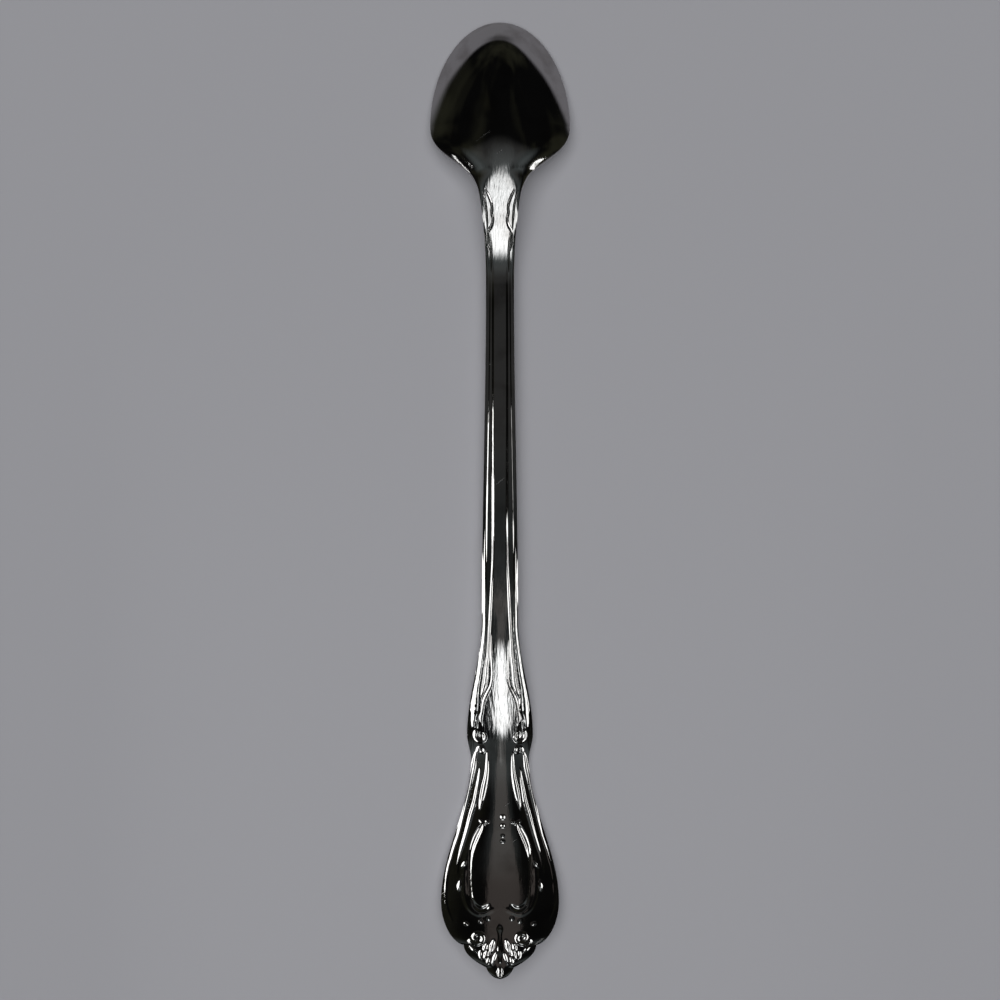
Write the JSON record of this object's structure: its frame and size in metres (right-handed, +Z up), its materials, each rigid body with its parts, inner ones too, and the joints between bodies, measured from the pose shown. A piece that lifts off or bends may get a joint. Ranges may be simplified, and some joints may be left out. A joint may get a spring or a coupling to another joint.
{
  "type": "baby spoon",
  "caption": "Infant feeding spoon of polished steel: small domed bowl, slim threaded stem and pear-shaped ornamented handle end; lies face down, back up.",
  "frame": {"origin": "middle of the bounding box, on the table that the spoon lies on", "axes": "+Y along the spoon, from the handle's end to the bowl's tip; +Z up, out of the back of the bowl; +X to the right as the back is seen with the bowl at the top"},
  "size_m": [0.0206, 0.14, 0.0067],
  "materials": {
    "polished_steel": "polished"
  },
  "bodies": {
    "root": {"bowl": "polished_steel", "neck": "polished_steel", "stem": "polished_steel", "scroll_swell": "polished_steel", "blade": "polished_steel", "shell_tip": "polished_steel"}
  },
  "joints": []
}
